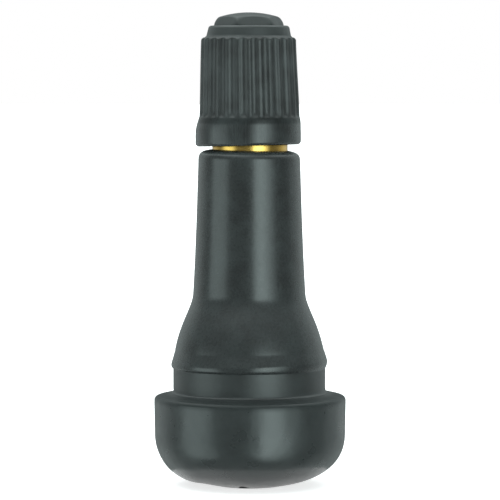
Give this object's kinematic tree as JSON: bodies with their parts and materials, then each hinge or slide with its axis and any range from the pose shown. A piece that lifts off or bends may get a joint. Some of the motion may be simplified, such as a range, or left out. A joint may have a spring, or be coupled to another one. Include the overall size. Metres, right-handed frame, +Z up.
{
  "type": "tyre valve",
  "caption": "Snap-in rubber tyre valve with a brass stem, a sprung valve core and a fluted screw-on dust cap with a domed hexagonal boss.",
  "frame": {"origin": "centre of the foot's flat underside, on the valve's axis", "axes": "+Z up the valve's axis from the foot to the cap, -Y towards the side that the picture shows"},
  "size_m": [0.0198, 0.0198, 0.0485],
  "materials": {
    "rubber": "moulded, satin",
    "cap_plastic": "moulded, satin",
    "brass": "turned, bright",
    "pin_steel": "drawn and plated",
    "spring_steel": "drawn wire",
    "seal_plastic": "moulded sealing plastic",
    "seal_rubber": "moulded sealing rubber"
  },
  "bodies": {
    "valve": {"rubber_body": "rubber", "brass_stem": "brass", "core_plug": "brass", "core_barrel": "brass", "barrel_gasket": "seal_plastic", "core_spring": "spring_steel"},
    "pin": {"core_pin": "pin_steel", "seat_cup": "brass", "seat_washer": "seal_rubber"},
    "cap_seal": {"cap_gasket": "seal_rubber"},
    "cap": {"dust_cap": "cap_plastic"}
  },
  "joints": [
    {"name": "pin_press", "type": "slide", "parent": "valve", "child": "pin", "axis": [0, 0, -1], "range_m": [0, 0.0015], "stiffness_N_per_m": 400, "deforming": ["core_spring"]},
    {"name": "cap_lift", "type": "slide", "parent": "valve", "child": "cap_seal", "axis": [0, 0, 1], "range_m": [0, 0.01032]},
    {"name": "cap_turn", "type": "hinge", "parent": "cap_seal", "child": "cap", "pos_m": [0, 0, 0.0348], "axis": [0, 0, 1], "range_deg": [0, 4680]}
  ],
  "couplings": [
    {"joint": "cap_turn", "follows": "cap_lift", "rad_per_m": 7913.3}
  ]
}
